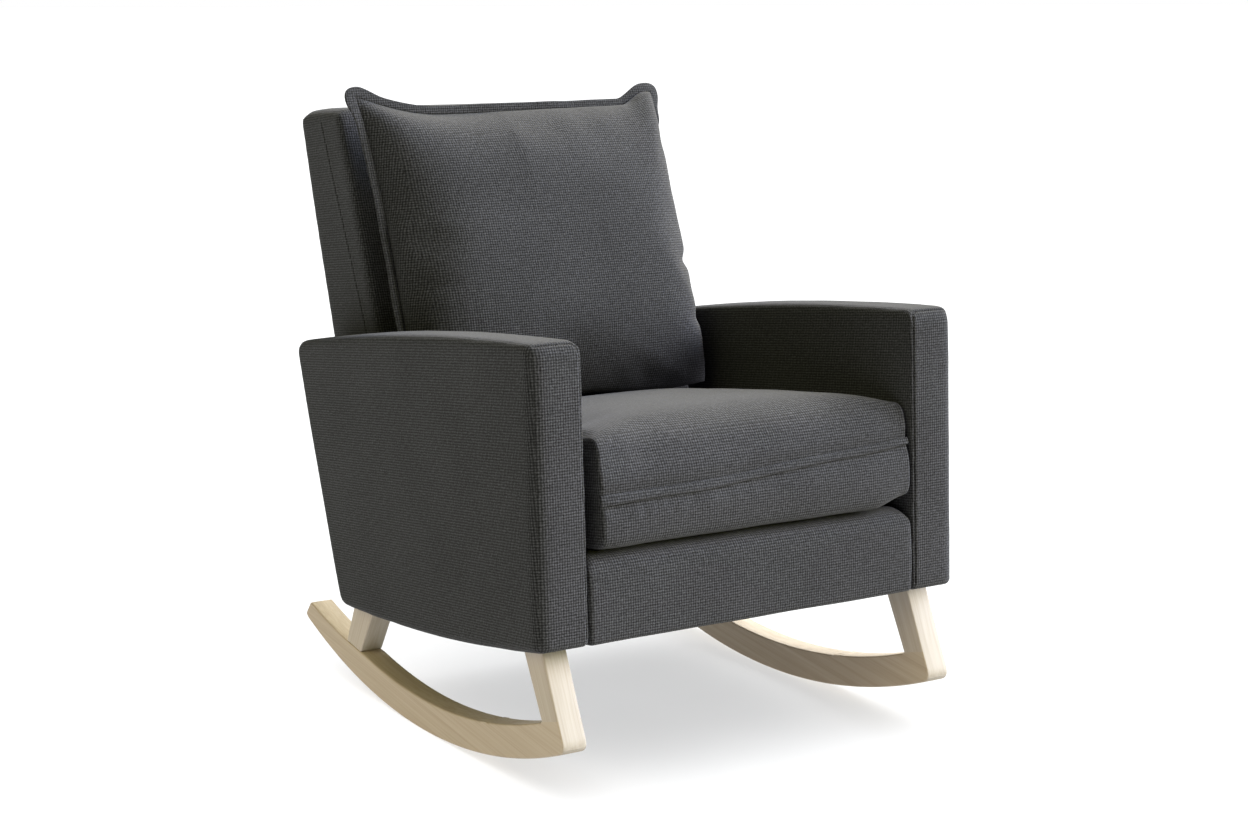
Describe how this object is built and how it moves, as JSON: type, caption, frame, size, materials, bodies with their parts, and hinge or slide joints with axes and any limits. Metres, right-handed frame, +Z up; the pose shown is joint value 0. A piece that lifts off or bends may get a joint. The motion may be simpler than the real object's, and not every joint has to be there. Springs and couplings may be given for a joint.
{
  "type": "rocking chair",
  "caption": "Upholstered rocking chair with padded track arms, a high back, a loose seat cushion and back pillow, on curved wooden runners with splayed legs.",
  "frame": {"origin": "on the floor, in the middle of the chair's bounding box", "axes": "+Z up; the chair faces -Y; +X is to the right of someone facing the chair, and left and right in the node names are that person's"},
  "size_m": [0.73, 0.9572, 0.9407],
  "materials": {
    "charcoal_fabric": "matte",
    "pale_wood": "satin",
    "frame_wood": "matte",
    "steel": "satin",
    "spring_steel": "satin",
    "black_cloth": "matte",
    "webbing": "matte"
  },
  "bodies": {
    "chair": {"back_lower_rail": "frame_wood", "back_top_rail": "frame_wood", "back_upholstery": "charcoal_fabric", "back_web_lower": "webbing", "back_web_middle": "webbing", "back_web_upper": "webbing", "dust_cover": "black_cloth", "front_rail_upholstery": "charcoal_fabric", "left_arm_front_post": "frame_wood", "left_arm_rear_post": "frame_wood", "left_arm_sill": "frame_wood", "left_arm_tie_screw_1": "steel", "left_arm_tie_screw_2": "steel", "left_arm_top_rail": "frame_wood", "left_arm_upholstery": "charcoal_fabric", "left_back_post": "frame_wood", "left_front_leg": "pale_wood", "left_front_leg_plate": "steel", "left_front_leg_screw_1": "steel", "left_front_leg_screw_2": "steel", "left_rear_leg": "pale_wood", "left_rear_leg_plate": "steel", "left_rear_leg_screw_1": "steel", "left_rear_leg_screw_2": "steel", "left_runner": "pale_wood", "left_seat_front_corner_block": "frame_wood", "left_seat_rear_corner_block": "frame_wood", "left_seat_side_rail": "frame_wood", "right_arm_front_post": "frame_wood", "right_arm_rear_post": "frame_wood", "right_arm_sill": "frame_wood", "right_arm_tie_screw_1": "steel", "right_arm_tie_screw_2": "steel", "right_arm_top_rail": "frame_wood", "right_arm_upholstery": "charcoal_fabric", "right_back_post": "frame_wood", "right_front_leg": "pale_wood", "right_front_leg_plate": "steel", "right_front_leg_screw_1": "steel", "right_front_leg_screw_2": "steel", "right_rear_leg": "pale_wood", "right_rear_leg_plate": "steel", "right_rear_leg_screw_1": "steel", "right_rear_leg_screw_2": "steel", "right_runner": "pale_wood", "right_seat_front_corner_block": "frame_wood", "right_seat_rear_corner_block": "frame_wood", "right_seat_side_rail": "frame_wood", "seat_deck": "black_cloth", "seat_front_rail": "frame_wood", "seat_rear_rail": "frame_wood", "seat_spring_1": "spring_steel", "seat_spring_2": "spring_steel", "seat_spring_3": "spring_steel", "seat_spring_4": "spring_steel", "seat_spring_5": "spring_steel"},
    "seat_cushion": {"seat_cushion": "charcoal_fabric"},
    "back_cushion": {"back_cushion": "charcoal_fabric"}
  },
  "joints": [
    {"name": "seat_cushion_slide", "type": "slide", "parent": "chair", "child": "seat_cushion", "axis": [0, -0.9925, 0.1219], "range_m": [0, 0.55]},
    {"name": "back_cushion_lift", "type": "slide", "parent": "chair", "child": "back_cushion", "axis": [0, 0.3501, 0.9367], "range_m": [0, 0.5]}
  ]
}
